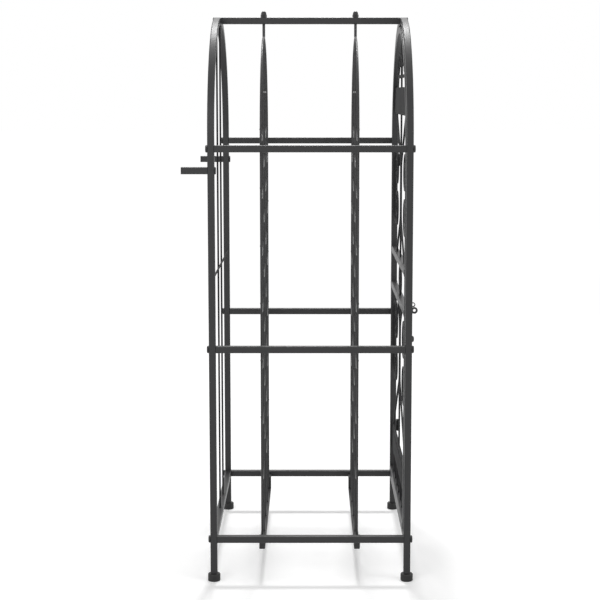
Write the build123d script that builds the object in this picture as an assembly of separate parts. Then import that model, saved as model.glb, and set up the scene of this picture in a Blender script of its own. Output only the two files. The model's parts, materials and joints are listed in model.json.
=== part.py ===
"""Lockable arched bottle cage: two tube arches, seven rails, two wire grids and a scrollwork door.

Millimetres. +Z is up with the floor at zero, the door faces +X and +Y is the right hand of
someone who faces the door.
"""
import os
from math import sqrt

from build123d import *

# Overall sizes and the square tube of arches, rails, arms and door
CAGE_WIDTH = 450.0
CAGE_DEPTH = 354.4
CAGE_HEIGHT = 1000.0
TUBE = 12.0
TUBE_WALL = 1.2
TUBE_CORNER = 1.6

# Feet: moulded glides with a plug that sits inside each leg
FOOT_D = 22.0
FOOT_H = 13.0
FOOT_ROUND = 2.0
PLUG_LENGTH = 16.0
PLUG_PLAY = 0.1

# Side rails, their threaded end nuts and the bolts through the legs
LOWER_RAIL_Z = 75.5
MIDDLE_RAIL_Z = 416.5
UPPER_RAIL_DROP = 9.0
END_NUT_LENGTH = 15.0
BOLT_D = 6.0
BOLT_HEAD_D = 13.0
BOLT_HEAD_H = 3.5
BOLT_REACH = 11.0
ARM_BOLT_HEAD_H = 2.6
THREAD_PLAY = 0.05
HOLE_PLAY = 0.25

# Rear panel rods and the wall arms
ROD_D = 3.4
REAR_ROD_SPACING = 90.0
REAR_CROSS_Z = 543.0
ARM_LENGTH = 45.5
ARM_Z = 728.5
ARM_CAP_T = 2.6

# Bottle grids
FRONT_GRID_X = 83.5
REAR_GRID_X = -86.5
GRID_INSET = 34.5
GRID_WIRE_D = 3.6
RUNG_D = 3.2
GRID_COLUMNS = 4
FIRST_RUNG_Z = 188.0
RUNG_PITCH = 102.0
RUNG_SAG = 22.0
TIE_RISE = 88.0
GRID_BASE_W = 10.6
GRID_BASE_T = 3.0
GRID_BASE_Z = 48.0
GRID_BASE_ROUND = 2.6
STRAP_DROP = 7.0
STUD_D = 5.0
STUD_PAST_RAIL = 8.5
NUT_FLATS = 10.0
NUT_HEX_H = 5.5
NUT_H = 12.0

# Door frame, its rails and the cut sheets
DOOR_SETBACK = 1.1
DOOR_GAP = 5.0
DOOR_BOTTOM_GAP = 4.5
LOWER_LOCK_RAIL_Z = 476.0
LOCK_RAIL_SPACING = 72.0
SHEET_T = 3.0
STRIP_W = 6.0
CENTRE_BAR_W = 8.0
CURL_RADIUS = 12.0
CURL_ANGLE = 85.0
FORK_SLOPE = 0.7
BAND_RISE = 46.0
BAND_H = 51.0
KICK_RISE = 39.0
KICK_H = 55.0
KICK_SLOT_DROP = 12.0
KICK_SLOT_H = 4.0
PICKET_COUNT = 7
PICKET_PITCH = 50.0
ROSETTE_RIM = 8.0
ROSETTE_HUB_D = 16.0

# Scroll drawing, as shares of the height of the door panel that holds it
UPPER_SCROLL_RATIO = 0.466
LOWER_SCROLL_RATIO = 0.648
FORK_SPREAD_RATIO = 0.4
VOLUTE_SPREAD_RATIO = 0.29
VOLUTE_RATIO = 0.122

# Hinges, lock eyes and knob
HINGE_LOW_Z = 180.0
HINGE_HIGH_DROP = 48.0
KNUCKLE_D = 8.0
KNUCKLE_H = 12.0
KNUCKLE_LIFT = 0.3
HINGE_STANDOFF = 4.3
LEAF_T = 2.2
LEAF_W = 10.0
PIN_D = 4.0
PIN_PLAY = 0.08
PIN_INSET = 1.0
EYE_RISE = 9.5
EYE_D = 11.5
EYE_HOLE_D = 5.0
EYE_T = 3.0
EYE_STANDOFF = 3.7
DOOR_EYE_RISE = 7.5
DOOR_EYE_D = 8.0
DOOR_EYE_STANDOFF = 3.6
KNOB_DROP = 53.5
KNOB_D = 11.4
KNOB_NECK_D = 6.0
KNOB_REACH = 5.8
KNOB_SPIGOT = 5.0

# Derived positions, about the middle of the frame
HALF_X = CAGE_DEPTH / 2
IN_X = HALF_X - TUBE
MID_X = HALF_X - TUBE / 2
R_OUT = CAGE_WIDTH / 2
R_MID = R_OUT - TUBE / 2
R_IN = R_OUT - TUBE
SPRING_Z = CAGE_HEIGHT - R_OUT
BORE = TUBE - 2 * TUBE_WALL
BORE_CORNER = TUBE_CORNER / 4
UPPER_RAIL_Z = SPRING_Z - UPPER_RAIL_DROP
TOP_RAIL_Z = CAGE_HEIGHT - TUBE / 2
RAIL_TOP = LOWER_RAIL_Z + TUBE / 2
GRID_TOP = GRID_BASE_Z + GRID_BASE_T
EAR_IN = R_OUT - GRID_INSET
EAR_OUT = EAR_IN + GRID_BASE_T
STRAP_TOP = RAIL_TOP - STRAP_DROP
GRID_R = EAR_IN - GRID_WIRE_D / 2
DOOR_X = MID_X - DOOR_SETBACK
DOOR_FACE_X = DOOR_X + TUBE / 2
DOOR_R = R_IN - DOOR_GAP - TUBE / 2
DOOR_IN = DOOR_R - TUBE / 2
DOOR_BOTTOM = RAIL_TOP + DOOR_BOTTOM_GAP
DOOR_RAIL_TOP = DOOR_BOTTOM + TUBE
UPPER_LOCK_RAIL_Z = LOWER_LOCK_RAIL_Z + LOCK_RAIL_SPACING
BAND_BOTTOM = SPRING_Z + BAND_RISE
BAND_TOP = BAND_BOTTOM + BAND_H
KICK_BOTTOM = DOOR_RAIL_TOP + KICK_RISE
KICK_TOP = KICK_BOTTOM + KICK_H
HINGE_X = HALF_X + HINGE_STANDOFF
HINGE_Y = R_IN - DOOR_GAP / 2
HINGE_HIGH_Z = SPRING_Z - HINGE_HIGH_DROP
EYE_Z = LOWER_LOCK_RAIL_Z + EYE_RISE
KNOB_Z = EYE_Z - KNOB_DROP
FRAME_SHIFT = (ARM_LENGTH - EYE_STANDOFF - EYE_D / 2) / 2


def save(shape, node):
    """Write one node, moved so that the overall box stands centred over the origin."""
    export_step(Pos(FRAME_SHIFT, 0, 0) * shape, "parts/" + node + ".step")


def block(x, y, z):
    """A box given by its (low, high) pair along each axis."""
    pairs = (x, y, z)
    sizes = [high - low for low, high in pairs]
    middle = [(high + low) / 2 for low, high in pairs]
    return Pos(*middle) * Box(*sizes)


def rod(start, end, diameter):
    """A round rod between two points."""
    along = Vector(*end) - Vector(*start)
    plane = Plane(origin=start, z_dir=along)
    return extrude(plane * Circle(diameter / 2), amount=along.length)


def group(solids):
    """Several separate solids that belong to one node."""
    return Compound([s for item in solids for s in item.solids()])


def square_bar(start, end, size, corner):
    """A straight square bar with rounded corners between two points."""
    along = Vector(*end) - Vector(*start)
    side = Vector(1, 0, 0) if abs(along.Z) > abs(along.X) else Vector(0, 0, 1)
    plane = Plane(origin=start, z_dir=along, x_dir=side)
    return extrude(plane * RectangleRounded(size, size, corner), amount=along.length)


def tube(start, end):
    """A straight length of the square tube."""
    return square_bar(start, end, TUBE, TUBE_CORNER) - square_bar(start, end, BORE, BORE_CORNER)


def plug(start, end):
    """A square plug that slides into the tube."""
    return square_bar(start, end, BORE - 2 * PLUG_PLAY, BORE_CORNER)


def arch_path(x, radius, foot_z):
    """Centre line of a round-topped arch: up one leg, over the crown, down the other leg."""
    left = Line((x, -radius, foot_z), (x, -radius, SPRING_Z))
    crown = ThreePointArc((x, -radius, SPRING_Z), (x, 0, SPRING_Z + radius), (x, radius, SPRING_Z))
    right = Line((x, radius, SPRING_Z), (x, radius, foot_z))
    return Wire([left, crown, right])


def arch_body(x, radius, foot_z, size, corner):
    """A square section swept along an arch."""
    path = arch_path(x, radius, foot_z)
    plane = Plane(origin=(x, -radius, foot_z), z_dir=(0, 0, 1), x_dir=(1, 0, 0))
    return sweep(plane * RectangleRounded(size, size, corner), path=path)


def nut_block(x, y, z, direction):
    """A threaded block inside a tube end at x, reaching back along the given X direction."""
    start, end = (x, y, z), (x + direction * END_NUT_LENGTH, y, z)
    return plug(start, end) - rod(start, end, BOLT_D + 2 * THREAD_PLAY)


def bolt(x, y, z, direction, head_h, shank):
    """A domed socket bolt: its head rests on the face at x and looks along the X direction."""
    plane = Plane(origin=(x, y, z), z_dir=(direction, 0, 0))
    head = extrude(plane * Circle(BOLT_HEAD_D / 2), amount=head_h)
    crown = head.edges().filter_by(GeomType.CIRCLE).sort_by(Axis.X)
    head = fillet(crown[-1] if direction > 0 else crown[0], head_h * 0.5)
    socket = plane.offset(head_h * 0.5)
    head -= extrude(socket * RegularPolygon(BOLT_D * 0.38, 6), amount=head_h)
    return head + extrude(plane * Circle(BOLT_D / 2), amount=-shank)


def acorn_nut(x, y, z):
    """A domed cap nut that stands on the face at z."""
    dome_r = NUT_FLATS * 0.49
    hexagon = extrude(RegularPolygon(NUT_FLATS / 2, 6, major_radius=False), amount=NUT_HEX_H)
    barrel = Pos(0, 0, NUT_HEX_H) * Cylinder(
        dome_r, NUT_H - NUT_HEX_H - dome_r, align=(Align.CENTER, Align.CENTER, Align.MIN)
    )
    dome = Pos(0, 0, NUT_H - dome_r) * Sphere(dome_r)
    bore_r = STUD_D / 2 + THREAD_PLAY
    bore = Cylinder(bore_r, STUD_PAST_RAIL + 0.5, align=(Align.CENTER, Align.CENTER, Align.MIN))
    return Pos(x, y, z) * (hexagon + barrel + dome - bore)


def foot(x, y):
    """A round glide on the floor with a square plug up inside the leg."""
    pad = Pos(x, y, FOOT_H / 2) * Cylinder(FOOT_D / 2, FOOT_H)
    pad = fillet(pad.edges().filter_by(GeomType.CIRCLE).sort_by(Axis.Z)[-1], FOOT_ROUND)
    pad = chamfer(pad.edges().filter_by(GeomType.CIRCLE).sort_by(Axis.Z)[0], FOOT_ROUND / 3)
    return pad + plug((x, y, FOOT_H), (x, y, FOOT_H + PLUG_LENGTH))


def ribbon(edges):
    """A cut strip of sheet in the door's middle plane, along connected edges."""
    path = Pos(DOOR_X, 0, 0) * (Plane.YZ * Wire(edges, sequenced=True))
    section = Plane(origin=path @ 0, z_dir=path % 0, x_dir=(1, 0, 0)) * Rectangle(SHEET_T, STRIP_W)
    return sweep(section, path=path)


def scroll(points, bends, turn, radius, arcs):
    """A strip through the points that ends in a spiral of ever smaller arcs, turning left or right."""
    line = FilletPolyline(*points, radius=bends)
    edges = list(line.edges())
    tip, heading = line @ 1, line % 1
    for k in range(arcs):
        tighter = radius * (1 - k / (arcs + 2))
        arc = JernArc(start=tip, tangent=heading, radius=tighter, arc_size=turn * CURL_ANGLE)
        edges.append(arc.edges()[0])
        tip, heading = arc @ 1, arc % 1
    return ribbon(edges)


def both_sides(shapes):
    """Each shape with its mirror image on the other side of the door's middle."""
    return list(shapes) + [mirror(shape, about=Plane.XZ) for shape in shapes]


def sheet(y, z):
    """A flat rectangle of sheet in the door's middle plane."""
    return block((DOOR_X - SHEET_T / 2, DOOR_X + SHEET_T / 2), y, z)


def fused(shapes):
    """Join overlapping shapes into one."""
    whole = shapes[0]
    for shape in shapes[1:]:
        whole = whole + shape
    return whole


os.makedirs("parts", exist_ok=True)

# Rails: seven straight tubes that butt against the inner faces of the arches
RAILS = {
    "top_rail": (0.0, TOP_RAIL_Z),
    "left_upper_rail": (-R_MID, UPPER_RAIL_Z),
    "left_middle_rail": (-R_MID, MIDDLE_RAIL_Z),
    "left_lower_rail": (-R_MID, LOWER_RAIL_Z),
    "right_upper_rail": (R_MID, UPPER_RAIL_Z),
    "right_middle_rail": (R_MID, MIDDLE_RAIL_Z),
    "right_lower_rail": (R_MID, LOWER_RAIL_Z),
}
GRIDS = {"front": FRONT_GRID_X, "rear": REAR_GRID_X}
rail_nuts = []
rail_bolts = []
for name, (y, z) in RAILS.items():
    rail = tube((-IN_X, y, z), (IN_X, y, z))
    if name == "top_rail":
        for grid_x in GRIDS.values():
            rail -= rod((grid_x, y, z - TUBE), (grid_x, y, z + TUBE), STUD_D + 2 * HOLE_PLAY)
    save(rail, name)
    for side in (-1, 1):
        rail_nuts.append(nut_block(side * IN_X, y, z, -side))
        rail_bolts.append(bolt(side * HALF_X, y, z, side, BOLT_HEAD_H, TUBE + BOLT_REACH))
save(group(rail_nuts), "rail_end_nuts")
save(group(rail_bolts), "rail_bolts")

# End arches with a bolt hole through both walls at each rail
for name, side in (("front_arch", 1), ("rear_arch", -1)):
    arch = arch_body(side * MID_X, R_MID, FOOT_H, TUBE, TUBE_CORNER)
    arch -= arch_body(side * MID_X, R_MID, FOOT_H, BORE, BORE_CORNER)
    holes = list(RAILS.values())
    if side < 0:
        holes += [(-R_MID, ARM_Z), (R_MID, ARM_Z)]
    for y, z in holes:
        ends = (side * (IN_X - 1), side * (HALF_X + 1))
        arch -= rod((ends[0], y, z), (ends[1], y, z), BOLT_D + 2 * HOLE_PLAY)
    save(arch, name)
for name, side in (("front_bottom_rail", 1), ("rear_bottom_rail", -1)):
    x = side * MID_X
    save(tube((x, -R_IN, LOWER_RAIL_Z), (x, R_IN, LOWER_RAIL_Z)), name)

# Feet under the four legs
for name, x, y in (
    ("front_left_foot", MID_X, -R_MID),
    ("front_right_foot", MID_X, R_MID),
    ("rear_left_foot", -MID_X, -R_MID),
    ("rear_right_foot", -MID_X, R_MID),
):
    save(foot(x, y), name)

# Rear panel: two upright rods, and a cross rod welded to their inner side
rear_solid = arch_body(-MID_X, R_MID, FOOT_H, TUBE, TUBE_CORNER)
for name, y in (("rear_left_rod", -REAR_ROD_SPACING / 2), ("rear_right_rod", REAR_ROD_SPACING / 2)):
    top = SPRING_Z + sqrt(R_MID**2 - y**2)
    save(rod((-MID_X, y, RAIL_TOP), (-MID_X, y, top), ROD_D) - rear_solid, name)
cross_x = -MID_X + ROD_D
save(rod((cross_x, -R_IN, REAR_CROSS_Z), (cross_x, R_IN, REAR_CROSS_Z), ROD_D), "rear_cross_rod")

# Wall arms: short tubes behind the rear legs, bolted from inside, with plastic end caps
arm_end = -(HALF_X + ARM_LENGTH - ARM_CAP_T)
arm_nuts = []
arm_bolts = []
arm_caps = []
for name, y in (("left_wall_arm", -R_MID), ("right_wall_arm", R_MID)):
    save(tube((-HALF_X, y, ARM_Z), (arm_end, y, ARM_Z)), name)
    arm_nuts.append(nut_block(-HALF_X, y, ARM_Z, -1))
    arm_bolts.append(bolt(-IN_X, y, ARM_Z, 1, ARM_BOLT_HEAD_H, TUBE + BOLT_REACH))
    cap = square_bar((arm_end, y, ARM_Z), (arm_end - ARM_CAP_T, y, ARM_Z), TUBE, TUBE_CORNER)
    arm_caps.append(cap + plug((arm_end, y, ARM_Z), (arm_end + PLUG_LENGTH / 2, y, ARM_Z)))
save(group(arm_nuts), "arm_end_nuts")
save(group(arm_bolts), "arm_bolts")
save(group(arm_caps), "arm_end_caps")

# Bottle grids: an arched wire, uprights and sagging rungs in a low strap, with a straight tie on top.
# The strap's ends turn up, then out to the inner faces of the lower rails, where they are welded.
column = 2 * GRID_R / GRID_COLUMNS
column_y = [-GRID_R + i * column for i in range(GRID_COLUMNS + 1)]
nuts = []
for name, x in GRIDS.items():
    wire_plane = Plane(origin=(x, -GRID_R, GRID_TOP), z_dir=(0, 0, 1))
    arch_wire = sweep(wire_plane * Circle(GRID_WIRE_D / 2), path=arch_path(x, GRID_R, GRID_TOP))
    save(arch_wire, name + "_grid_arch")
    uprights = []
    for y in column_y[1:-1]:
        top = SPRING_Z + sqrt(GRID_R**2 - y**2)
        uprights.append(rod((x, y, GRID_TOP), (x, y, top), GRID_WIRE_D) - arch_wire)
    save(group(uprights), name + "_grid_uprights")
    rungs = []
    for i in range(GRID_COLUMNS):
        low, high = column_y[i], column_y[i + 1]
        wires = []
        z = FIRST_RUNG_Z + (i % 2) * RUNG_PITCH / 2
        while z < SPRING_Z + RUNG_PITCH / 2:
            reach = sqrt(GRID_R**2 - max(z - SPRING_Z, 0) ** 2)
            start, end = max(low, -reach), min(high, reach)
            bend = ThreePointArc((x, start, z), (x, (start + end) / 2, z - RUNG_SAG), (x, end, z))
            wires.append(sweep(Plane(origin=bend @ 0, z_dir=bend % 0) * Circle(RUNG_D / 2), path=bend))
            z += RUNG_PITCH
        if 0 < i < GRID_COLUMNS - 1:
            tie_z = SPRING_Z + TIE_RISE
            wires.append(rod((x, low, tie_z), (x, high, tie_z), RUNG_D))
        for rung in wires:
            for post in [arch_wire] + uprights:
                rung = rung - post
            rungs.append(rung)
    save(group(rungs), name + "_grid_rungs")
    base_x = (x - GRID_BASE_W / 2, x + GRID_BASE_W / 2)
    base = block(base_x, (-EAR_OUT, EAR_OUT), (GRID_BASE_Z, STRAP_TOP))
    base = fillet(base.faces().sort_by(Axis.Z)[0].edges(), GRID_BASE_ROUND)
    base += block(base_x, (-R_IN, R_IN), (STRAP_TOP - GRID_BASE_T, STRAP_TOP))
    base -= block((x - GRID_BASE_W, x + GRID_BASE_W), (-EAR_IN, EAR_IN), (GRID_TOP, RAIL_TOP))
    save(base, name + "_grid_base")
    hanger = rod((x, 0, SPRING_Z + GRID_R), (x, 0, CAGE_HEIGHT + STUD_PAST_RAIL), STUD_D)
    save(hanger - arch_wire, name + "_grid_stud")
    nuts.append(acorn_nut(x, 0, CAGE_HEIGHT))
save(group(nuts), "acorn_nuts")

# Door frame: one arched tube, closed at the foot of each stile, with three rails
door_frame = arch_body(DOOR_X, DOOR_R, DOOR_BOTTOM, TUBE, TUBE_CORNER)
door_frame -= arch_body(DOOR_X, DOOR_R, DOOR_BOTTOM + TUBE_WALL, BORE, BORE_CORNER)
spigot_d = KNOB_NECK_D * 0.7
spigot_end = (DOOR_FACE_X - KNOB_SPIGOT, -DOOR_R, KNOB_Z)
door_frame -= rod(spigot_end, (DOOR_FACE_X + 1, -DOOR_R, KNOB_Z), spigot_d + 2 * THREAD_PLAY)
save(door_frame, "door_arch_frame")
for name, z in (
    ("door_bottom_rail", DOOR_BOTTOM + TUBE / 2),
    ("door_upper_lock_rail", UPPER_LOCK_RAIL_Z),
    ("door_lower_lock_rail", LOWER_LOCK_RAIL_Z),
):
    save(tube((DOOR_X, -DOOR_IN, z), (DOOR_X, DOOR_IN, z)), name)

# Bare band plate across the arch, cut to the curve of the door frame
opening = Pos(DOOR_X, 0, SPRING_Z) * Rot(0, 90, 0) * Cylinder(DOOR_IN, TUBE)
save(sheet((-DOOR_IN, DOOR_IN), (BAND_BOTTOM, BAND_TOP)) & opening, "door_band_plate")

# Scrollwork sheets: strips on a centre bar, trimmed where they meet the frame. The small scrolls
# of the arch are drawn in fiftieths of the half width between the stiles.
bar_y = CENTRE_BAR_W / 2
back_y = bar_y + STRIP_W / 2
stile_y = DOOR_IN - STRIP_W / 2
unit = DOOR_IN / 50
bend = CURL_RADIUS

z = BAND_TOP
waist = z + 8.4 * unit
lower_curl = [(back_y, waist), (back_y, z + 5.1 * unit), (21 * unit, z + 5.1 * unit)]
upper_curl = [(back_y, waist), (back_y, z + 13.5 * unit), (10 * unit, z + 15.7 * unit)]
strips = both_sides([
    scroll(lower_curl, [bend * 0.7], 1, 4.6 * unit, 6),
    scroll(upper_curl, [bend * 0.8], -1, 3.1 * unit, 4),
])
bar = sheet((-bar_y, bar_y), (z, SPRING_Z + DOOR_R))
save(fused([bar] + strips) & opening, "door_top_scroll")

# Two panels: forked strips leave the centre bar above and below a pair of C scrolls, which
# stand with their backs on the stiles and curl inwards
upper_low = UPPER_LOCK_RAIL_Z + TUBE / 2
lower_high = LOWER_LOCK_RAIL_Z - TUBE / 2
side_scrolls = []
for name, low, high, share in (
    ("door_upper_scroll", upper_low, BAND_BOTTOM, UPPER_SCROLL_RATIO),
    ("door_lower_scroll", KICK_TOP, lower_high, LOWER_SCROLL_RATIO),
):
    tall = high - low
    middle = low + share * tall
    volute = VOLUTE_RATIO * tall
    forks = []
    halves = []
    for k in (-1, 1):
        corner = middle + k * FORK_SPREAD_RATIO / 2 * tall
        far = corner + k * FORK_SLOPE * DOOR_IN
        line = FilletPolyline((back_y, middle), (back_y, corner), (DOOR_IN, far), radius=[bend * 2])
        forks.append(ribbon(line.edges()))
        crest = middle + k * (VOLUTE_SPREAD_RATIO / 2 * tall + volute)
        back = [(stile_y, middle), (stile_y, crest), (stile_y - 2.36 * volute, crest)]
        halves.append(scroll(back, [volute], k, volute, 7))
    bar = sheet((-bar_y, bar_y), (low, high))
    panel = sheet((-DOOR_IN, DOOR_IN), (low, high))
    save(fused([bar] + both_sides(forks)) & panel, name)
    side_scrolls.append(fused(halves))
save(group(both_sides(side_scrolls)), "door_side_scrolls")

# Kick band with a row of slots near its top and small pickets down to the bottom rail
band = sheet((-DOOR_IN, DOOR_IN), (KICK_BOTTOM, KICK_TOP))
slot_top = KICK_TOP - KICK_SLOT_DROP
for i in range(PICKET_COUNT):
    y = (i - (PICKET_COUNT - 1) / 2) * PICKET_PITCH
    band += sheet((y - bar_y, y + bar_y), (DOOR_RAIL_TOP, KICK_BOTTOM))
    slot_y = PICKET_PITCH / 2 - bar_y
    band -= sheet((y - slot_y, y + slot_y), (slot_top - KICK_SLOT_H, slot_top))
save(band, "door_kick_band")

# Rosette between the lock rails: rim, cross and hub cut from one sheet
rosette_d = UPPER_LOCK_RAIL_Z - LOWER_LOCK_RAIL_Z - TUBE
centre = Pos(DOOR_X, 0, (UPPER_LOCK_RAIL_Z + LOWER_LOCK_RAIL_Z) / 2) * Rot(0, 90, 0)
rosette = centre * Cylinder(rosette_d / 2, SHEET_T)
rosette -= centre * Cylinder(rosette_d / 2 - ROSETTE_RIM, SHEET_T)
rosette += centre * Cylinder(ROSETTE_HUB_D / 2, SHEET_T)
for turn in (45, 135):
    rosette += centre * Rot(0, 0, turn) * Box(rosette_d - ROSETTE_RIM, STRIP_W, SHEET_T)
save(rosette, "door_rosette")


def eye(face_x, y, z, standoff, size):
    """A padlock eye: a round-ended tab that stands on a face at face_x."""
    x = face_x + standoff
    centre = Pos(x, y, z) * Rot(90, 0, 0)
    tab = centre * Cylinder(size / 2, EYE_T)
    root = size * 0.4
    tab += block((face_x, x), (y - EYE_T / 2, y + EYE_T / 2), (z - root, z + root))
    tab -= block((face_x - size, face_x), (y - EYE_T, y + EYE_T), (z - size, z + size))
    return tab - centre * Cylinder(EYE_HOLE_D / 2, EYE_T)


save(eye(HALF_X, -R_MID, EYE_Z, EYE_STANDOFF, EYE_D), "frame_lock_eye")
door_eye = eye(DOOR_FACE_X, -DOOR_R, EYE_Z + DOOR_EYE_RISE, DOOR_EYE_STANDOFF, DOOR_EYE_D)
save(door_eye, "door_lock_eye")

# Knob on the free stile: neck, head and a spigot through the tube wall
knob_z_dir = Plane(origin=(DOOR_FACE_X, -DOOR_R, KNOB_Z), z_dir=(1, 0, 0))
knob = extrude(knob_z_dir.offset(KNOB_REACH * 0.2) * Circle(KNOB_D / 2), amount=KNOB_REACH * 0.8)
knob_rims = knob.edges().filter_by(GeomType.CIRCLE).sort_by(Axis.X)
knob = fillet(knob_rims[-1], KNOB_REACH * 0.6)
knob += extrude(knob_z_dir * Circle(KNOB_NECK_D / 2), amount=KNOB_REACH * 0.3)
knob += extrude(knob_z_dir * Circle(spigot_d / 2), amount=-KNOB_SPIGOT)
save(knob, "door_knob")

# Hinges: a fixed lower knuckle with its pin, and the door's knuckle standing above it
for name, z in (("upper_hinge", HINGE_HIGH_Z), ("lower_hinge", HINGE_LOW_Z)):
    lift = KNUCKLE_LIFT / 2
    pin_low, pin_high = z - KNUCKLE_H + PIN_INSET, z + KNUCKLE_H - PIN_INSET
    pin = rod((HINGE_X, HINGE_Y, pin_low), (HINGE_X, HINGE_Y, pin_high), PIN_D)
    fixed = rod((HINGE_X, HINGE_Y, z - KNUCKLE_H), (HINGE_X, HINGE_Y, z - lift), KNUCKLE_D)
    fixed += block(
        (HALF_X, HALF_X + LEAF_T), (HINGE_Y, R_IN + LEAF_W), (z - KNUCKLE_H, z - lift)
    )
    fixed -= rod((HINGE_X, HINGE_Y, pin_low), (HINGE_X, HINGE_Y, z), PIN_D)
    swing = rod((HINGE_X, HINGE_Y, z + lift), (HINGE_X, HINGE_Y, z + KNUCKLE_H), KNUCKLE_D)
    swing += block(
        (DOOR_FACE_X, DOOR_FACE_X + LEAF_T),
        (R_IN - DOOR_GAP - LEAF_W, HINGE_Y),
        (z + lift, z + KNUCKLE_H),
    )
    bore_d = PIN_D + 2 * PIN_PLAY
    swing -= rod((HINGE_X, HINGE_Y, z), (HINGE_X, HINGE_Y, pin_high + HOLE_PLAY), bore_d)
    save(fixed, name + "_frame_knuckle")
    save(swing, name + "_door_knuckle")
    save(pin, name + "_pin")
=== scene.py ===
# %% [markdown]
# # A lockable arched bottle cage
# The cage is welded from thin square tube and round wire, then powder coated black. Its shape
# comes from the CAD frame, which is loaded first so that everything added here sits in the same
# place. This lesson adds what CAD leaves out: the paint, the weld beads, the threads and the light.

import json
import math

import bpy
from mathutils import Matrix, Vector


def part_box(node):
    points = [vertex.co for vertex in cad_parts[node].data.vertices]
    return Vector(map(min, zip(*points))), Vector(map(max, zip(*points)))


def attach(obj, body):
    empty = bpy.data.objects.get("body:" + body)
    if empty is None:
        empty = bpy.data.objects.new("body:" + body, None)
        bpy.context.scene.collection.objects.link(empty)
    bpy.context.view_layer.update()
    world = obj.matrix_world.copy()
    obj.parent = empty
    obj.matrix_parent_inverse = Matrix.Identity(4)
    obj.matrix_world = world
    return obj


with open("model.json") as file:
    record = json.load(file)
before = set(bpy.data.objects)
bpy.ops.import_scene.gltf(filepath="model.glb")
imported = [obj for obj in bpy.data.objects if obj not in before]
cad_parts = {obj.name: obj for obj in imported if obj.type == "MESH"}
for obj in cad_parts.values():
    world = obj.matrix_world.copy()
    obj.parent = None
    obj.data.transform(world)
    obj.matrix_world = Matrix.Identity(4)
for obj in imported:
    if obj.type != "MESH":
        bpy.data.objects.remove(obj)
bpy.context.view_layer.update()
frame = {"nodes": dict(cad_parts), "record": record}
nodes = frame["nodes"]
slots = {part["node"]: part["material_slot"] for part in frame["record"]["subparts"]}

# %% [markdown]
# ## Two shared shader groups
# Powder coat is melted plastic dust, so it has a fine ripple like the skin of an orange. That is
# finer than a mesh can hold, so noise tilts the surface instead. A node group holds the ripple
# once, and every material borrows it. A second group answers one question, which way a face looks,
# and turns faces that look up a paler grey: partly the dust that settles there, partly a painted
# highlight on those top faces. Three small helpers keep each tree short to read: a list of its
# nodes with their numbers, then a list of its links.


# %% Helpers: add a node, join two nodes, start a group
def add(tree, kind, values=None, **choices):
    """Add a node, make its choices first and then set its inputs by name or number."""
    node = tree.nodes.new(kind)
    for choice, value in choices.items():
        setattr(node, choice, value)
    for socket, value in (values or {}).items():
        node.inputs[socket].default_value = value
    return node


def link(source, output, target, into):
    """Join an output of one node to an input of another, each given by name or number."""
    source.id_data.links.new(source.outputs[output], target.inputs[into])


def group(name, kind, inputs, outputs):
    """Start a node group with named sockets: its tree, its input node and its output node."""
    tree = bpy.data.node_groups.new(name, kind)
    for in_out, sockets in (("INPUT", inputs), ("OUTPUT", outputs)):
        for socket, sort in sockets.items():
            tree.interface.new_socket(socket, in_out=in_out, socket_type="NodeSocket" + sort)
    return tree, add(tree, "NodeGroupInput"), add(tree, "NodeGroupOutput")


print("helpers:", add.__name__, link.__name__, group.__name__)


# %% Group: fine ripple of a sprayed coat
def coat_ripple():
    """Node group: object position in, a rippled normal, its grain and a slow patchy value out."""
    inputs = {"Position": "Vector", "Fineness": "Float", "Depth": "Float"}
    outputs = {"Normal": "Vector", "Grain": "Float", "Patch": "Float"}
    tree, ins, outs = group("coat_ripple", "ShaderNodeTree", inputs, outputs)
    grain = add(tree, "ShaderNodeTexNoise", {"Detail": 2.0})
    bump = add(tree, "ShaderNodeBump", {"Distance": 0.0003})
    patch = add(tree, "ShaderNodeTexNoise", {"Scale": 14.0})
    link(ins, "Position", grain, "Vector")
    link(ins, "Fineness", grain, "Scale")
    link(ins, "Position", patch, "Vector")
    link(ins, "Depth", bump, "Strength")
    link(grain, "Fac", bump, "Height")
    link(bump, "Normal", outs, "Normal")
    link(grain, "Fac", outs, "Grain")
    link(patch, "Fac", outs, "Patch")
    return tree


ripple_group = coat_ripple()
print("group:", ripple_group.name)


# %% Group: dust and a painted highlight on faces that look up
def dust_and_top_highlight():
    """Node group: object position in, a mask out for faces that look up: a light dusting there and a
    painted highlight.
    """
    tree, ins, outs = group("dust_and_top_highlight", "ShaderNodeTree", {"Position": "Vector"}, {"Mask": "Float"})
    look = add(tree, "ShaderNodeNewGeometry")
    split = add(tree, "ShaderNodeSeparateXYZ")
    up = add(tree, "ShaderNodeMapRange", {"From Min": 0.55, "From Max": 1.0})
    cloud = add(tree, "ShaderNodeTexNoise", {"Scale": 60.0})
    both = add(tree, "ShaderNodeMath", operation="MULTIPLY")
    link(look, "Normal", split, "Vector")
    link(split, "Z", up, "Value")
    link(ins, "Position", cloud, "Vector")
    link(up, "Result", both, 0)
    link(cloud, "Fac", both, 1)
    link(both, "Value", outs, "Mask")
    return tree


dust_and_highlight_group = dust_and_top_highlight()
print("group:", dust_and_highlight_group.name)

# %% [markdown]
# ## Five finishes from one recipe
# The record sorts the pieces into four slots: coated tube, wire and sheet, gloss black fasteners,
# oiled steel studs and pins, and moulded plastic. Each could have a tree of its own, but they share
# one recipe with different numbers, which keeps them looking like one object under one light. The
# flat sheets of the door and the thin rods of the back get the coat once more, a little duller,
# because powder lies drier there.

# %% The recipe of a dark finish
mottle_dark, mottle_pale = 0.6, 1.4  # the base colour wanders between these shares of itself
gloss_spread = 0.06  # and the roughness by this much either way
# the paler grey of faces that look up: settled dust and a painted highlight
dust_and_highlight_grey = (0.32, 0.31, 0.30, 1)


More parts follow.
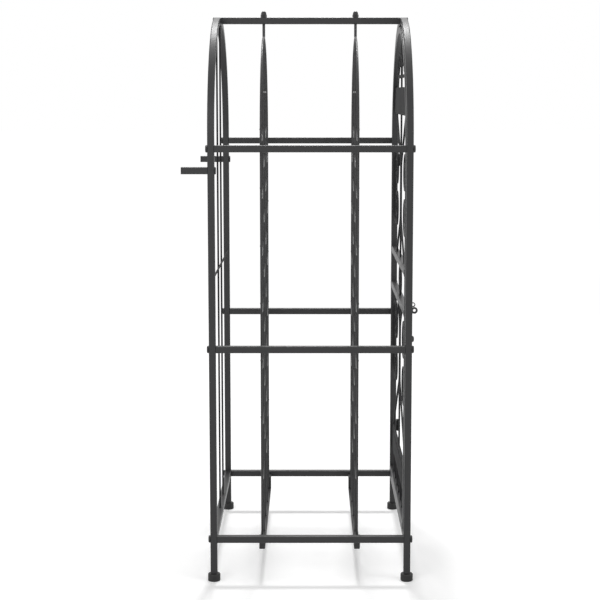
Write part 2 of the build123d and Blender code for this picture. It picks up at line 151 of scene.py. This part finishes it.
def finish_material(name, colour, rough, fine, depth, dust_and_highlight, metal=0.0, shine=0.42):
    """Mottled colour, a dusting and a painted highlight on upward faces, patchy gloss and a ripple of
    the given fineness and depth.
    """
    mat = bpy.data.materials.new(name)
    mat.use_nodes = True
    tree = mat.node_tree
    shader = tree.nodes["Principled BSDF"]
    shader.inputs["Metallic"].default_value = metal
    shader.inputs["Specular IOR Level"].default_value = shine
    dark = (*[mottle_dark * c for c in colour], 1)
    pale = (*[mottle_pale * c for c in colour], 1)
    where = add(tree, "ShaderNodeTexCoord")
    ripple = add(tree, "ShaderNodeGroup", {"Fineness": fine, "Depth": depth}, node_tree=ripple_group)
    # faces that look up are mixed towards a paler grey: settled dust and a painted highlight
    dust_and_highlight_mask = add(tree, "ShaderNodeGroup", node_tree=dust_and_highlight_group)
    share = add(tree, "ShaderNodeMath", {1: dust_and_highlight}, operation="MULTIPLY")
    tone = add(tree, "ShaderNodeMix", {"A": dark, "B": pale}, data_type="RGBA")
    paint = add(tree, "ShaderNodeMix", {"B": dust_and_highlight_grey}, data_type="RGBA")
    shinier, duller = rough - gloss_spread, rough + gloss_spread
    gloss = add(tree, "ShaderNodeMapRange", {"To Min": shinier, "To Max": duller})
    link(where, "Object", ripple, "Position")
    link(where, "Object", dust_and_highlight_mask, "Position")
    link(dust_and_highlight_mask, "Mask", share, 0)
    link(share, "Value", paint, "Factor")
    link(ripple, "Grain", tone, "Factor")
    link(tone, "Result", paint, "A")
    link(paint, "Result", shader, "Base Color")
    link(ripple, "Patch", gloss, "Value")
    link(gloss, "Result", shader, "Roughness")
    link(ripple, "Normal", shader, "Normal")
    return mat


print("mottle:", mottle_dark, "to", mottle_pale, "of the colour, dust:", dust_and_highlight_grey)

# %% Mix the five finishes
coat_black = (0.018, 0.018, 0.019)
gloss_black = (0.010, 0.010, 0.0105)
oiled_grey = (0.06, 0.06, 0.062)
moulded_black = (0.010, 0.010, 0.010)
# in each recipe the share after the depth paints faces that look up paler: settled dust and a painted
# highlight
recipes = {
    "black_coat": dict(colour=coat_black, rough=0.40, fine=800, depth=0.30, dust_and_highlight=0.07),
    "black_fasteners": dict(colour=gloss_black, rough=0.28, fine=400, depth=0.05, dust_and_highlight=0.05),
    "plain_steel": dict(colour=oiled_grey, rough=0.38, fine=1500, depth=0.10, dust_and_highlight=0.02, metal=0.8),
    "black_plastic": dict(colour=moulded_black, rough=0.55, fine=1400, depth=0.20, dust_and_highlight=0.08),
    "dull_coat": dict(colour=coat_black, rough=0.75, fine=700, depth=0.35, dust_and_highlight=0.08, shine=0.12),
}
finishes = {name: finish_material(name, **recipe) for name, recipe in recipes.items()}
print("finishes:", list(finishes))

# %% Paint every CAD piece with the finish of its slot
dull_pieces = ["door_band_plate", "door_kick_band", "door_rosette", "door_side_scrolls"]
dull_pieces += ["door_top_scroll", "door_upper_scroll", "door_lower_scroll"]
dull_pieces += ["rear_left_rod", "rear_right_rod", "rear_cross_rod"]
for name, obj in nodes.items():
    finish = "dull_coat" if name in dull_pieces else slots[name]
    obj.data.materials.clear()
    obj.data.materials.append(finishes[finish])
print("painted:", len(nodes), "of them dull:", len(dull_pieces))

# %% [markdown]
# ## Where the welds are
# The cage is welded where its wires meet and where its tubes end. Those places could be typed in,
# but reading them from the frame keeps each weld on its joint when a size changes. Each wire of
# the bottle grids is a solid of its own, so the loose islands of the mesh are found first, and the
# box around each island gives its ends. A rung sags in an arc, so the height of its box also tells
# how steeply it meets the upright. A tube ends where the box of its node does. A weld is then a
# ring or a square around such an end, and a short line beside each flat piece that lies on a tube.


# %% Find the separate solids of a node
def islands(obj):
    """(low corner, high corner) of each connected solid in a mesh object."""
    mesh = obj.data
    parent = list(range(len(mesh.vertices)))

    def root(i):
        while parent[i] != i:
            parent[i] = parent[parent[i]]
            i = parent[i]
        return i

    first = {}
    for vert in mesh.vertices:
        key = tuple(round(c, 6) for c in vert.co)
        parent[root(vert.index)] = root(first.setdefault(key, vert.index))
    for edge in mesh.edges:
        parent[root(edge.vertices[0])] = root(edge.vertices[1])
    boxes = {}
    for vert in mesh.vertices:
        place = obj.matrix_world @ vert.co
        low, high = boxes.setdefault(root(vert.index), (list(place), list(place)))
        for axis in range(3):
            low[axis] = min(low[axis], place[axis])
            high[axis] = max(high[axis], place[axis])
    return list(boxes.values())


rungs = islands(nodes["front_grid_rungs"]) + islands(nodes["rear_grid_rungs"])
posts = islands(nodes["front_grid_uprights"]) + islands(nodes["rear_grid_uprights"])
posts += islands(nodes["rear_left_rod"]) + islands(nodes["rear_right_rod"])
print("rungs:", len(rungs), "posts:", len(posts))

# %% Draw a ring around each wire end
ring_corners = 12
rung_inset = 0.0007  # how far a ring sits in from the end of a rung
foot_inset = 0.0005  # and up from the foot of an upright


def ring(centre, radius, axis, rise=1.0):
    """Points of a loop around the Y or Z axis; rise makes a loop around Y taller."""
    x, y, z = centre
    loop = []
    for i in range(ring_corners):
        angle = 2 * math.pi * i / ring_corners
        a, b = radius * math.cos(angle), rise * radius * math.sin(angle)
        loop.append((x + a, y, z + b) if axis == "y" else (x + a, y + b, z))
    return loop


def wire_loops():
    """Rings at both ends of every rung, taller where it slopes, and at the foot of every upright."""
    loops = []
    for low, high in rungs:
        x, radius = (low[0] + high[0]) / 2, (high[0] - low[0]) / 2
        half, sag = (high[1] - low[1]) / 2, high[2] - low[2] - 2 * radius
        # An arc leaves its ends at twice the angle of its sag over half its span.
        slope = 2 * math.atan2(sag, half)
        z = high[2] - radius * math.cos(slope) - rung_inset * math.tan(slope)
        for y in (low[1] + rung_inset, high[1] - rung_inset):
            loops.append(ring((x, y, z), radius, "y", 1 / math.cos(slope)))
    for low, high in posts:
        x, y = (low[0] + high[0]) / 2, (low[1] + high[1]) / 2
        loops.append(ring((x, y, low[2] + foot_inset), (high[0] - low[0]) / 2, "z"))
    return loops


cage_wire = wire_loops()
print("wire loops:", len(cage_wire))

# %% Draw a square around each tube end
tube_inset = 0.0005  # how far a square sits in from the end of a tube
bead_sink = 0.0003  # and under the faces of the tube


def tube_loops(names):
    """Squares at both ends of tubes that run along Y."""
    loops = []
    for name in names:
        low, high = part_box(name)
        x, z = (low[0] + high[0]) / 2, (low[2] + high[2]) / 2
        half = (high[2] - low[2]) / 2 - bead_sink
        corners = [(half, half), (-half, half), (-half, -half), (half, -half)]
        for y in (low[1] + tube_inset, high[1] - tube_inset):
            loops.append([(x + a, y, z + b) for a, b in corners])
    return loops


cage_tube = tube_loops(["front_bottom_rail", "rear_bottom_rail"])
door_tube = tube_loops(["door_bottom_rail", "door_upper_lock_rail", "door_lower_lock_rail"])
print("tube loops:", len(cage_tube), len(door_tube))

# %% Draw the short welds of eyes, hinge leaves and scrolls
eye_root_share = 0.4  # half the root of an eye, as a share of the height of the eye
leaf_margin = 0.001  # left free above and below the weld of a hinge leaf
scroll_weld_half = 0.008  # half the length of a weld on the back of a scroll


def eye_root(name):
    """A rectangle around the root of a padlock eye, on the face that it stands on."""
    low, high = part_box(name)
    middle, reach = (low[2] + high[2]) / 2, eye_root_share * (high[2] - low[2])
    corners = [(low[1], -reach), (high[1], -reach), (high[1], reach), (low[1], reach)]
    return [(low[0], y, middle + rise) for y, rise in corners]


def leaf_edge(name, end):
    """A line down the free edge of a hinge leaf; end 0 is its low side along Y, end 1 its high side."""
    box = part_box(name)
    low, high = box
    y = box[end][1]
    return [(low[0], y, low[2] + leaf_margin), (low[0], y, high[2] - leaf_margin)]


def scroll_backs():
    """Lines on both faces of each C scroll, where its straight back lies on the stile."""
    lines = []
    for low, high in islands(nodes["door_side_scrolls"]):
        y = high[1] if high[1] > -low[1] else low[1]
        middle = (low[2] + high[2]) / 2
        for x in (low[0], high[0]):
            lines.append([(x, y, middle - scroll_weld_half), (x, y, middle + scroll_weld_half)])
    return lines


cage_tabs = [eye_root("frame_lock_eye")]
cage_tabs += [leaf_edge(hinge + "_hinge_frame_knuckle", 1) for hinge in ("upper", "lower")]
door_tabs = [eye_root("door_lock_eye")] + scroll_backs()
door_tabs += [leaf_edge(hinge + "_hinge_door_knuckle", 0) for hinge in ("upper", "lower")]
print("short welds:", len(cage_tabs), len(door_tabs))

# %% [markdown]
# ## Weld beads with Geometry Nodes
# A weld is laid as a row of small puddles that overlap. A plain tube bent round the joint would be
# simpler, but the ripple of the puddles is what the eye knows a weld by. So the node tree turns
# the drawn loops into curves, steps along them at an even pace, sets a small ball at each step and
# lets every ball differ a little in size. The same tree makes fine wire welds and broader tube
# welds, because pace and ball size are inputs.

# %% The weld bead tree
smallest_puddle, largest_puddle = 0.85, 1.15  # shares of the ball size
puddle_seed = 7


def bead_tree():
    """Geometry node group: loops in, a row of overlapping puddles out."""
    inputs = {"Geometry": "Geometry", "Pace": "Float", "Ball": "Float", "Paint": "Material"}
    tree, ins, outs = group("weld_beads", "GeometryNodeTree", inputs, {"Geometry": "Geometry"})
    curve = add(tree, "GeometryNodeMeshToCurve")
    step = add(tree, "GeometryNodeResampleCurve", mode="LENGTH")
    points = add(tree, "GeometryNodeCurveToPoints", mode="EVALUATED")
    ball = add(tree, "GeometryNodeMeshIcoSphere", {"Subdivisions": 2})
    spread = {"Min": smallest_puddle, "Max": largest_puddle, "Seed": puddle_seed}
    vary = add(tree, "FunctionNodeRandomValue", spread, data_type="FLOAT")
    place = add(tree, "GeometryNodeInstanceOnPoints")
    real = add(tree, "GeometryNodeRealizeInstances")
    smooth = add(tree, "GeometryNodeSetShadeSmooth")
    paint = add(tree, "GeometryNodeSetMaterial")
    link(ins, "Geometry", curve, "Mesh")
    link(curve, "Curve", step, "Curve")
    link(ins, "Pace", step, "Length")
    link(step, "Curve", points, "Curve")
    link(ins, "Ball", ball, "Radius")
    link(points, "Points", place, "Points")
    link(ball, "Mesh", place, "Instance")
    link(vary, "Value", place, "Scale")
    link(place, "Instances", real, "Geometry")
    link(real, "Geometry", smooth, "Geometry")
    link(smooth, "Geometry", paint, "Geometry")
    link(ins, "Paint", paint, "Material")
    link(paint, "Geometry", outs, "Geometry")
    return tree


weld_tree = bead_tree()
print("tree:", weld_tree.name)


# %% Turn a node tree into a plain mesh that rides on a body
def input_sockets(tree):
    """The names of a node group's inputs, each with the identifier that a modifier knows it by."""
    return {s.name: s.identifier for s in tree.interface.items_tree if s.in_out == "INPUT"}


def grow(name, verts, edges, tree, inputs, body):
    """Run a geometry tree on a drawing of edges and keep the result as a plain mesh."""
    drawing = bpy.data.meshes.new(name + "_drawing")
    drawing.from_pydata(verts, edges, [])
    sketch = bpy.data.objects.new(name + "_sketch", drawing)
    bpy.context.scene.collection.objects.link(sketch)
    grown = sketch.modifiers.new("grow", "NODES")
    grown.node_group = tree
    sockets = input_sockets(tree)
    for key, value in inputs.items():
        grown[sockets[key]] = value
    state = bpy.context.evaluated_depsgraph_get()
    mesh = bpy.data.meshes.new_from_object(sketch.evaluated_get(state))
    bpy.data.objects.remove(sketch)
    obj = bpy.data.objects.new(name, mesh)
    bpy.context.scene.collection.objects.link(obj)
    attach(obj, body)
    print(name, "faces:", len(mesh.polygons))


print("inputs of the weld tree:", input_sockets(weld_tree))


# %% Weld the wires and the tubes
def closed_edges(loops):
    """One list of points and the edges that close each loop; two points make a single line."""
    verts, edges = [], []
    for loop in loops:
        start, count = len(verts), len(loop)
        verts.extend(loop)
        steps = count if count > 2 else 1
        edges.extend((start + i, start + (i + 1) % count) for i in range(steps))
    return verts, edges


wire_bead = {"Pace": 0.0011, "Ball": 0.0008, "Paint": finishes["black_coat"]}
tube_bead = {"Pace": 0.0016, "Ball": 0.0011, "Paint": finishes["black_coat"]}
tab_bead = {"Pace": 0.0012, "Ball": 0.0008, "Paint": finishes["black_coat"]}
for name, loops, bead, body in (
    ("wire_welds", cage_wire, wire_bead, "cage"),
    ("frame_welds", cage_tube, tube_bead, "cage"),
    ("door_welds", door_tube, tube_bead, "door"),
    ("cage_tab_welds", cage_tabs, tab_bead, "cage"),
    ("door_tab_welds", door_tabs, tab_bead, "door"),
):
    verts, edges = closed_edges(loops)
    grow(name, verts, edges, weld_tree, bead, body)

# %% [markdown]
# ## Threads on the hanger studs
# The grids hang from the top rail on two studs, and their thread shows between wire and rail. A
# thread is a helix with a small triangular tooth. A bump in the material would leave its outline
# smooth against the light, so a spiral curve is swept with a three-sided profile. One drawing
# point per stud says where each spiral starts.


# %% The thread tree
def thread_tree():
    """Geometry node group: points in, one threaded helix above each point out."""
    inputs = {"Geometry": "Geometry", "Turns": "Float", "Radius": "Float", "Height": "Float"}
    inputs.update({"Tooth": "Float", "Paint": "Material"})
    tree, ins, outs = group("stud_thread", "GeometryNodeTree", inputs, {"Geometry": "Geometry"})
    helix = add(tree, "GeometryNodeCurveSpiral", {"Resolution": 28})
    tooth = add(tree, "GeometryNodeCurvePrimitiveCircle", {"Resolution": 3})
    sweep = add(tree, "GeometryNodeCurveToMesh", {"Fill Caps": True})
    place = add(tree, "GeometryNodeInstanceOnPoints")
    real = add(tree, "GeometryNodeRealizeInstances")
    paint = add(tree, "GeometryNodeSetMaterial")
    link(ins, "Turns", helix, "Rotations")
    link(ins, "Radius", helix, "Start Radius")
    link(ins, "Radius", helix, "End Radius")
    link(ins, "Height", helix, "Height")
    link(ins, "Tooth", tooth, "Radius")
    link(helix, "Curve", sweep, "Curve")
    link(tooth, "Curve", sweep, "Profile Curve")
    link(ins, "Geometry", place, "Points")
    link(sweep, "Mesh", place, "Instance")
    link(place, "Instances", real, "Geometry")
    link(real, "Geometry", paint, "Geometry")
    link(ins, "Paint", paint, "Material")
    link(paint, "Geometry", outs, "Geometry")
    return tree


stud_tree = thread_tree()
print("tree:", stud_tree.name)

# %% Cut the visible thread of both studs
thread_radius = 0.0024
thread_pitch = 0.0008
thread_tooth = 0.00035
gap_over_wire = 0.001
gap_under_rail = 0.0006
rail_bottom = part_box("top_rail")[0][2]
starts = []
for name in ("front_grid_arch", "rear_grid_arch"):
    low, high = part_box(name)
    starts.append(((low[0] + high[0]) / 2, 0, high[2] + gap_over_wire))
length = rail_bottom - starts[0][2] - gap_under_rail
helix_inputs = {"Turns": length / thread_pitch, "Height": length, "Radius": thread_radius}
helix_inputs.update({"Tooth": thread_tooth, "Paint": finishes["plain_steel"]})
grow("stud_threads", starts, [], stud_tree, helix_inputs, "cage")

# %% [markdown]
# ## Floor, light and background
# The cage stands on white in soft studio light. A large pale floor carries a weak shadow, and the
# sky is white for the camera and for reflections. The lamps light the floor best near the cage, so
# the floor's own glow is weak there and grows with distance, which leaves room for the shadow.
# Three big area lights shape the tubes, and a small fourth one, high behind the cage, draws the
# bright shoulders on top of the two arches.


# %% The sky, and which rays see it white
def white_rays(tree):
    """A node whose value is 1 for rays from the camera and for mirrored or refracted rays, else 0."""
    rays = add(tree, "ShaderNodeLightPath")
    straight_or_mirrored = add(tree, "ShaderNodeMath", operation="MAXIMUM")
    seen = add(tree, "ShaderNodeMath", operation="MAXIMUM")
    link(rays, "Is Camera Ray", straight_or_mirrored, 0)
    link(rays, "Is Glossy Ray", straight_or_mirrored, 1)
    link(straight_or_mirrored, "Value", seen, 0)
    link(rays, "Is Transmission Ray", seen, 1)
    return seen


def white_sky():
    """White where the camera or a reflection looks, a softer grey for the light on the cage."""
    world = bpy.data.worlds.new("sky")
    world.use_nodes = True
    tree = world.node_tree
    back = tree.nodes["Background"]
    back.inputs["Color"].default_value = (1, 1, 1, 1)
    level = add(tree, "ShaderNodeMapRange", {"To Min": 0.40, "To Max": 1.0})
    link(white_rays(tree), "Value", level, "Value")
    link(level, "Result", back, "Strength")
    bpy.context.scene.world = world
    return world


print("sky:", white_sky().name)

# %% The floor
floor_reach = 30
near_cage, far_off = 1.2, 5.0  # the glow grows between these distances from the middle
glow_near, glow_far = 0.24, 0.68


def floor_material():
    """Pale and matt, with a glow for the rays that see white, so that a faint shadow is left."""
    mat = bpy.data.materials.new("floor")
    mat.use_nodes = True
    tree = mat.node_tree
    shader = tree.nodes["Principled BSDF"]
    shader.inputs["Base Color"].default_value = (0.85, 0.85, 0.85, 1)
    shader.inputs["Roughness"].default_value = 0.9
    shader.inputs["Specular IOR Level"].default_value = 0.0
    shader.inputs["Emission Color"].default_value = (1, 1, 1, 1)
    where = add(tree, "ShaderNodeTexCoord")
    away = add(tree, "ShaderNodeVectorMath", operation="LENGTH")
    distances = {"From Min": near_cage, "From Max": far_off}
    fade = add(tree, "ShaderNodeMapRange", {**distances, "To Min": glow_near, "To Max": glow_far})
    glow = add(tree, "ShaderNodeMath", operation="MULTIPLY")
    link(where, "Object", away, 0)
    link(away, "Value", fade, "Value")
    link(white_rays(tree), "Value", glow, 0)
    link(fade, "Result", glow, 1)
    link(glow, "Value", shader, "Emission Strength")
    return mat


def plain_floor():
    """One wide square at floor level, kept out of the part itself."""
    corners = [(-1, -1), (1, -1), (1, 1), (-1, 1)]
    mesh = bpy.data.meshes.new("floor")
    mesh.from_pydata([(floor_reach * a, floor_reach * b, 0) for a, b in corners], [], [(0, 1, 2, 3)])
    mesh.materials.append(floor_material())
    floor = bpy.data.objects.new("floor", mesh)
    bpy.context.scene.collection.objects.link(floor)
    return floor


print("stage:", plain_floor().name)


# %% Four soft lights
def area_light(name, place, target, size, power):
    """A square area light at a place, turned towards a target."""
    lamp = bpy.data.lights.new(name, "AREA")
    lamp.size = size
    lamp.energy = power
    obj = bpy.data.objects.new(name, lamp)
    bpy.context.scene.collection.objects.link(obj)
    obj.location = place
    aim = [t - p for p, t in zip(place, target)]
    flat = math.hypot(aim[0], aim[1])
    obj.rotation_euler = (math.atan2(flat, -aim[2]), 0, math.atan2(aim[1], aim[0]) - math.pi / 2)


area_light("above", place=(0.2, -0.6, 3.0), target=(0, 0, 0.6), size=2.2, power=8)
area_light("front", place=(-1.8, -3.2, 1.9), target=(0, 0, 0.5), size=2.0, power=40)
area_light("side", place=(2.6, -1.6, 1.6), target=(0, 0, 0.6), size=1.6, power=20)
area_light("behind", place=(0.0, 1.35, 3.2), target=(0, 0, 0.9), size=0.5, power=62)
print("lights:", len(bpy.data.lights))

# %% [markdown]
# ## Camera
# The photo looks at the cage square from its side, a little below its top, with a long lens. The
# numbers come from matching rails and legs in the photo to the same edges in the model. The
# camera tilts down a few degrees to hold the whole cage in the frame.

# %% Set the camera
eye = (0.0180, -2.6458, 0.860)
tilt_down = 6.646  # degrees
focal_length = 84.59  # millimetres, as is the sensor width
sensor_width = 36
shift_x, shift_y = -0.01737, -0.07

lens = bpy.data.cameras.new("camera")
lens.lens = focal_length
lens.sensor_width = sensor_width
lens.shift_x = shift_x
lens.shift_y = shift_y
camera = bpy.data.objects.new("camera", lens)
bpy.context.scene.collection.objects.link(camera)
camera.location = eye
camera.rotation_euler = (math.radians(90 - tilt_down), 0, 0)
bpy.context.scene.camera = camera
bpy.context.scene.view_settings.view_transform = "Standard"
print("camera:", list(camera.location))
